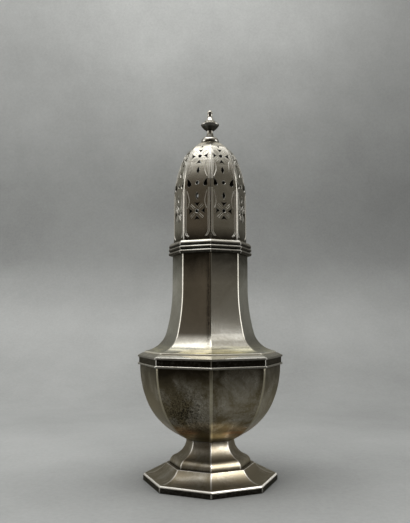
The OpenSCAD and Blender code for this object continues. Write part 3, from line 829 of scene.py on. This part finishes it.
def addGroove(bm, stations, width):
    # stations are (u, z) on the panel; a three-sided cutter follows them
    turnPanel = Matrix.Rotation(halfTurn, 3, "Z")
    lift, depth = engraving["lift"], engraving["depth"]
    rings = []
    for i, (u, z) in enumerate(stations):
        a, b = stations[max(i - 1, 0)], stations[min(i + 1, len(stations) - 1)]
        way = Vector((b[0] - a[0], b[1] - a[1])).normalized()
        side = Vector((way.y, -way.x)) * width
        corners = ((u + side.x, z + side.y, lift), (u - side.x, z - side.y, lift), (u, z, -depth))
        rings.append([turnPanel @ Vector(domePoint(*corner)) * mm for corner in corners])
    face = bm.faces.new([bm.verts.new(co) for co in rings[0]])
    for i, ring in enumerate(rings[1:]):
        face, verts = drawOut(bm, face, keep=i == 0)
        for vert, co in zip(face.verts, ring):
            vert.co = co


def panelCutter(name, bm):
    bmesh.ops.spin(bm, geom=bm.verts[:] + bm.edges[:] + bm.faces[:], cent=(0, 0, 0), axis=(0, 0, 1),
                   angle=2 * pi * (sides - 1) / sides, steps=sides - 1, use_duplicate=True)
    bmesh.ops.recalc_face_normals(bm, faces=bm.faces)
    return newObject(name, bm)


def makeHoles():
    bm = bmesh.new()
    for z, outline in panelMotifs():
        addHole(bm, z, outline)
    return panelCutter("holeCutter", bm)


def makeGrooves():
    bm = bmesh.new()
    for line in strapLines():
        for side in (-1, 1):
            stations = [(side * (domeAt(wallTop + point.y)[0] * tan(halfTurn) - point.x), wallTop + point.y)
                        for point in smoothLine(line, engraving["steps"])]
            addGroove(bm, stations, engraving["halfWidth"])
    inner, outer, gap = engraving["crossInner"], engraving["crossOuter"], engraving["crossGap"]
    for middleZ in (wallTop + piercing["lowerRosette"], crownZ + piercing["upperRosette"]):
        slope = domeAt(middleZ)[1]
        for quarter in range(4):
            angle = pi / 4 + quarter * pi / 2
            way, across = Vector((cos(angle), sin(angle))), Vector((-sin(angle), cos(angle)))
            for offset in (-gap, gap):
                ends = [way * r + across * offset for r in (inner, (inner + outer) / 2, outer)]
                stations = [(p.x, middleZ + p.y * cos(slope)) for p in ends]
                addGroove(bm, stations, engraving["crossHalfWidth"])
    return panelCutter("grooveCutter", bm)


def cutAway(obj, cutter):
    cut = obj.modifiers.new("cut", "BOOLEAN")
    cut.operation = "DIFFERENCE"
    cut.solver = "EXACT"
    cut.object = cutter
    shape = obj.evaluated_get(bpy.context.evaluated_depsgraph_get())
    mesh = bpy.data.meshes.new_from_object(shape)
    obj.modifiers.clear()
    obj.data = mesh
    bpy.data.objects.remove(cutter)


# faces of the cut dome, by how nearly each faces out of its panel: 1 straight out, -1 straight in
facings = {"inside": -0.5, "cutWall": 0.25, "chamfer": 0.9, "panel": 0.985, "groove": 0.995,
           "grooveSheen": 0.3, "sharpAngle": 20}


def panelNormal(panel, z):
    slope = domeAt(z / mm)[1]
    return Vector((cos(slope) * cos(panel), cos(slope) * sin(panel), sin(slope)))


def panelNormals(mesh):
    # panels are shaded from their own curve, so the cuts leave no dents in the reflections
    mesh.shade_smooth()
    mesh.set_sharp_from_angle(angle=radians(facings["sharpAngle"]))
    normals = [Vector(corner.vector) for corner in mesh.corner_normals]
    wearAndSheen, inside, grimeAndShading = (mesh.attributes[name].data for name in ("edgeWearAndSheen", "inside", "grimeAndShading"))
    for polygon in mesh.polygons:
        centre, index = polygon.center, polygon.index
        panel = halfTurn * (2 * int((atan2(centre.y, centre.x) % (2 * pi)) / (2 * halfTurn)) + 1)
        facing = polygon.normal.dot(panelNormal(panel, centre.z))
        # faces turned in take painted shade inside, the walls of the cuts painted shade, and the hole chamfers
        # and groove walls the worn colour as painted highlight
        inside[index].value = 1.0 if facing < facings["inside"] else 0.0
        grimeAndShading[index].value = 1.0 if facings["inside"] <= facing < facings["cutWall"] else 0.0
        wearAndSheen[index].value = 0.0
        if facings["cutWall"] < facing < facings["chamfer"]:
            wearAndSheen[index].value = 1.0
        elif facings["chamfer"] <= facing < facings["groove"]:
            wearAndSheen[index].value = facings["grooveSheen"]
        if facing > facings["panel"]:
            for loopIndex in polygon.loop_indices:
                co = mesh.vertices[mesh.loops[loopIndex].vertex_index].co
                normals[loopIndex] = panelNormal(panel, co.z)
    mesh.normals_split_custom_set(normals)


def makeDome():
    hole, underZ = dome["tangHole"], crownZ - dome["sheet"] * sin(radians(dome["crownAngle"]))
    outline = domeFace(0) + [(hole, crownZ), (hole, underZ)] + domeFace(dome["sheet"])[::-1]
    bm = turnOutline(outline, sides, cornerShare)
    obj = newObject("piercedDome", softenOctagon(bm, dome["arris"], 0))
    cutAway(obj, makeGrooves())
    cutAway(obj, makeHoles())
    panelNormals(obj.data)
    placePiece(obj, "pierced_dome")


makeDome()


# finial and its collar

collar = {"foot": 4.4, "top": 2.3, "edgeHeight": 0.5, "swell": 0.55, "hole": 0.85, "edge": 0.1}
finial = {"foot": 2.0, "stem": 1.5, "stemHeight": 3.0, "urn": 4.5, "cupHeight": 2.9, "cupSwell": 0.25,
          "brim": 0.45, "lidHeight": 3.6, "lidHollow": 0.35, "tipNeck": 1.25, "neckHeight": 1.6, "tip": 1.45,
          "tang": 0.8, "edge": 0.1, "turns": 64, "ballSteps": 14, "grimeAndShading": (0.15, 1.1, 0.9)}


def trumpet(half, z, halfEnd, zEnd, steps=12):
    bend = tangentRadius(halfEnd - half, z - zEnd)
    return arcPoints((half + bend, z), bend, 180, 180 + degrees(asin((z - zEnd) / bend)), steps)


def bowedLine(start, end, depth, steps=12):
    # stands off the chord: hollow for a depth above 0, swelling for one below
    chord = Vector(end) - Vector(start)
    way = 1 if depth > 0 else -1
    out = Vector((chord.y, -chord.x)).normalized()
    bend = (chord.length_squared / 4 + depth * depth) / (2 * abs(depth))
    centre = (Vector(start) + Vector(end)) / 2 + way * (bend - abs(depth)) * out
    middle = degrees(atan2(-way * out.y, -way * out.x))
    angle = way * degrees(asin(chord.length / 2 / bend))
    return arcPoints(centre, bend, middle + angle, middle - angle, steps)


def roundPiece(name, node, outline, edgeWidth, closed=True):
    bm = turnOutline(outline, finial["turns"], closed=closed)
    wearAndSheen, grimeAndShading = (bm.faces.layers.float.new(layer) for layer in ("edgeWearAndSheen", "grimeAndShading"))
    grimeAndShadingAt = grimeAndShadingBelow(*finial["grimeAndShading"])
    edges = sharpEdges(bm, wearing["roundEdgeAngle"])
    for face in bevelEdges(bm, edges, edgeWidth, wearing["edgeSegments"])["faces"]:
        face[wearAndSheen] = wearing["roundEdge"]
    for face in bm.faces:
        face[grimeAndShading] = grimeAndShadingAt(0, face.normal.z)
    obj = newObject(name, bm)
    smoothFaces(obj)
    placePiece(obj, node)


def makeCollar():
    low, top = lowOf("finial_collar"), topOf("finial_collar")
    cushion = bowedLine((collar["foot"], low + collar["edgeHeight"]), (collar["top"], top), -collar["swell"])
    outline = [(collar["hole"], low), (collar["foot"], low)] + cushion + [(collar["hole"], top)]
    roundPiece("finialCollar", "finial_collar", outline, collar["edge"])


def makeFinial():
    seat, low = topOf("finial_collar"), lowOf("finial")
    waistZ = seat + finial["stemHeight"]
    brimZ = waistZ + finial["cupHeight"]
    lidZ = brimZ + finial["brim"]
    lidTop = lidZ + finial["lidHeight"]
    tipZ = lidTop + finial["neckHeight"]
    ballStart = -90 + degrees(asin(finial["tipNeck"] / finial["tip"]))
    ballZ = tipZ - finial["tip"] * sin(radians(ballStart))
    ball = arcPoints((0, ballZ), finial["tip"], ballStart, 90, finial["ballSteps"])
    outline = ([(0, low), (finial["tang"], low), (finial["tang"], seat)]
               + trumpet(finial["stem"], waistZ, finial["foot"], seat)[::-1]
               + bowedLine((finial["stem"], waistZ), (finial["urn"], brimZ), -finial["cupSwell"])[1:]
               + bowedLine((finial["urn"], lidZ), (finial["tipNeck"], lidTop), finial["lidHollow"])
               + ball[:-1] + [(0, ballZ + finial["tip"])])
    roundPiece("finial", "finial", outline, finial["edge"], closed=False)


makeCollar()
makeFinial()


# studio, in metres: a pale paper sweep under and behind the caster

studio = {"floorFront": -0.16, "floorEnd": -1.6, "floorBack": 0.42, "sideReach": 0.9, "wallHeight": 1.2,
          "sweepRadius": 0.22, "sweepSteps": 20}

# tone of the paper by height up the sweep (as a share of toneTop) and from left to right across toneWidth:
# painted shading, darker in the curve and to the right as the light falls off
paper = {
    "colour": (0.444, 0.454, 0.448), "roughness": 0.9, "specular": 0.1,
    "toneTop": 0.944, "toneWidth": 1.0, "toneScale": 1.5625,
    "upward": ((0.0, 0.66), (0.025, 0.67), (0.07, 0.8), (0.09, 0.8), (0.155, 0.565), (0.255, 0.56),
               (0.5, 0.85), (1.0, 0.9)),
    "across": ((0.0, 1.0), (0.4, 0.91), (0.6, 0.82), (0.74, 0.7), (1.0, 0.5)),
    "glowPlace": (0.02, 0.42, 0.48), "glowReach": 0.36, "glow": 0.55, "shadeReach": 0.07, "shade": 0.7,
    "clouds": (9.0, 6.0, 0.6), "cloudShare": 0.55, "cloudBase": 0.6,
    "fibres": (420.0, 3.0, 0.7), "fibreShare": 0.25,
}


def paperMaterial():
    material, tree, shader = newMaterial("pale paper")
    calc, noise, ramp = (partial(make, tree) for make in (mathNode, noiseNode, rampNode))
    where = addNode(tree, "ShaderNodeTexCoord").outputs["Object"]
    place = addNode(tree, "ShaderNodeSeparateXYZ", {"Vector": where}).outputs
    upward = ramp(calc("DIVIDE", place["Z"], paper["toneTop"]), paper["upward"])
    across = ramp(calc("ADD", calc("DIVIDE", place["X"], paper["toneWidth"]), 0.5), paper["across"])
    tone = calc("MULTIPLY", calc("MULTIPLY", upward, across), paper["toneScale"])

    # a painted glow of light high on the sweep, faint clouds and fibres, and painted shadow under the foot
    fromGlow = vectorNode(tree, "DISTANCE", where, paper["glowPlace"])
    glow = addNode(tree, "ShaderNodeMapRange", {"Value": fromGlow, "From Max": paper["glowReach"],
                                                "To Min": 1 + paper["glow"], "To Max": 1.0},
                   interpolation_type="SMOOTHSTEP").outputs["Result"]
    clouds = calc("MULTIPLY_ADD", noise(where, *paper["clouds"]), paper["cloudShare"], paper["cloudBase"])
    clouds = calc("MULTIPLY_ADD", noise(where, *paper["fibres"]), paper["fibreShare"], clouds)
    footShadow = openSkyNode(tree, paper["shadeReach"], samples=8)
    footShadow = calc("MULTIPLY_ADD", footShadow, paper["shade"], 1 - paper["shade"])
    for share in (glow, clouds, footShadow):
        tone = calc("MULTIPLY", tone, share)
    colour = addNode(tree, "ShaderNodeVectorMath", {0: paper["colour"], "Scale": tone}, operation="SCALE")
    feed(tree, shader, {"Base Color": colour.outputs["Vector"], "Roughness": paper["roughness"],
                        "Specular IOR Level": paper["specular"]})
    return material


def drawEdges(bm, edges, way):
    strip = bmesh.ops.extrude_edge_only(bm, edges=edges)
    bmesh.ops.translate(bm, verts=onlyKind(bmesh.types.BMVert, strip["geom"]), vec=way)


def makeSweep():
    bm = bmesh.new()
    front, radius = studio["floorFront"], studio["sweepRadius"]
    back = studio["floorBack"] - radius
    edge = bm.edges.new([bm.verts.new((side * studio["sideReach"], front, 0)) for side in (-1, 1)])
    drawEdges(bm, [edge], (0, back - front, 0))
    last = max(bm.edges, key=lambda item: sum(vert.co.y for vert in item.verts))
    curve = bmesh.ops.spin(bm, geom=[last] + list(last.verts), cent=(0, back, radius), axis=(1, 0, 0),
                           angle=pi / 2, steps=studio["sweepSteps"])
    drawEdges(bm, onlyKind(bmesh.types.BMEdge, curve["geom_last"]), (0, 0, studio["wallHeight"]))
    bmesh.ops.recalc_face_normals(bm, faces=bm.faces)
    sweep = newObject("sweep", bm)
    sweep.data.shade_smooth()
    sweep.data.materials.append(paperMaterial())


def makeFrontPaper():
    # the paper runs on towards the camera, but the silver reflects the dim room there
    bm = bmesh.new()
    near, far, reach = studio["floorFront"], studio["floorEnd"], studio["sideReach"]
    corners = [(-reach, near, 0), (reach, near, 0), (reach, far, 0), (-reach, far, 0)]
    bmesh.ops.contextual_create(bm, geom=[bm.verts.new(corner) for corner in corners])
    bmesh.ops.recalc_face_normals(bm, faces=bm.faces)
    front = newObject("frontPaper", bm)
    front.data.materials.append(bpy.data.materials["pale paper"])
    front.visible_glossy = False


makeSweep()
makeFrontPaper()


# lamps: the place of each, the point that it faces, its size and power, and for a card the only piece it lights

lamps = {
    "overhead box": {"place": (-0.08, -0.09, 0.75), "aim": (-0.08, -0.09, 0), "size": (0.6, 0.6),
                     "power": 1.65},
    "left panel": {"place": (-0.6, 0, 0.26), "aim": (0, 0, 0.26), "size": (0.45, 0.5), "power": 1.2},
    "right panel": {"place": (0.6, 0, 0.26), "aim": (0, 0, 0.26), "size": (0.45, 0.5), "power": 1.2},
    "back strip": {"place": (0, 0.4, 0.69), "aim": (0, -0.6, 0.4), "size": (1.0, 0.35), "power": 1.1},
    "low card": {"place": (0.33, -0.33, 0.37), "aim": (0, 0, 0.015), "size": (0.3, 0.44), "power": 5.0,
                 "only": footPiece},
    "high card": {"place": (0.33, -0.33, 0.42), "aim": (0, 0, 0.08), "size": (0.34, 0.3), "power": 0.36,
                  "only": neckPiece},
}


def addSoftBox(name, lamp):
    light = bpy.data.lights.new(name, "AREA")
    light.shape = "RECTANGLE"
    light.size, light.size_y = lamp["size"]
    light.energy = lamp["power"]
    obj = bpy.data.objects.new(name, light)
    obj.location = lamp["place"]
    obj.rotation_euler = (Vector(lamp["aim"]) - obj.location).to_track_quat("-Z", "Y").to_euler()
    obj.visible_camera = False
    scene.collection.objects.link(obj)
    if "only" in lamp:
        lit = bpy.data.collections.new(name)
        lit.objects.link(lamp["only"])
        obj.light_linking.receiver_collection = lit


for name, lamp in lamps.items():
    addSoftBox(name, lamp)


# world: the walls of a dim room from left to right, and a glow overhead, brightest along the ceiling's lean

room = {
    "walls": ((0.0, (0.12, 0.105, 0.08)), (0.2, (0.1, 0.08, 0.058)), (0.4, (0.035, 0.03, 0.022)),
              (0.6, (0.035, 0.032, 0.026)), (0.8, (0.15, 0.138, 0.115)), (1.0, (0.17, 0.16, 0.14))),
    "ceiling": ((0.48, 0.0), (0.63, (0.2, 0.2, 0.195)), (0.76, (0.7, 0.7, 0.69)),
                (0.88, (1.05, 1.05, 1.04)), (1.0, (1.35, 1.35, 1.33))),
    "ceilingLean": (-0.13, 0.04, 1.0),
}


def makeWorld():
    world = bpy.data.worlds.new("dim room")
    scene.world = world
    world.use_nodes = True
    tree = world.node_tree
    direction = addNode(tree, "ShaderNodeTexCoord").outputs["Generated"]
    parts = addNode(tree, "ShaderNodeSeparateXYZ", {"Vector": direction}).outputs
    walls = rampNode(tree, mathNode(tree, "MULTIPLY_ADD", parts["X"], 0.5, 0.5), room["walls"])
    rise = vectorNode(tree, "DOT_PRODUCT", direction, room["ceilingLean"])
    ceiling = rampNode(tree, rise, room["ceiling"])
    feed(tree, tree.nodes["Background"], {"Color": vectorNode(tree, "ADD", walls, ceiling)})


makeWorld()
print("studio ready")


# camera at the photograph's viewpoint

view = {"distance": 0.2828, "height": 0.0746, "sideways": -0.00249, "pitch": 5.77, "turn": 0.2, "lens": 40.02,
        "sensor": 36.0, "nearest": 0.01}


def makeCamera():
    data = bpy.data.cameras.new("camera")
    data.sensor_width = view["sensor"]
    data.lens = view["lens"]
    data.clip_start = view["nearest"]
    camera = bpy.data.objects.new("camera", data)
    aroundAxis = Matrix.Rotation(radians(-view["turn"]), 4, "Z")
    camera.location = aroundAxis @ Vector((view["sideways"], -view["distance"], view["height"]))
    camera.rotation_euler = Euler((radians(90 + view["pitch"]), 0, radians(-view["turn"])))
    scene.collection.objects.link(camera)
    scene.camera = camera


makeCamera()
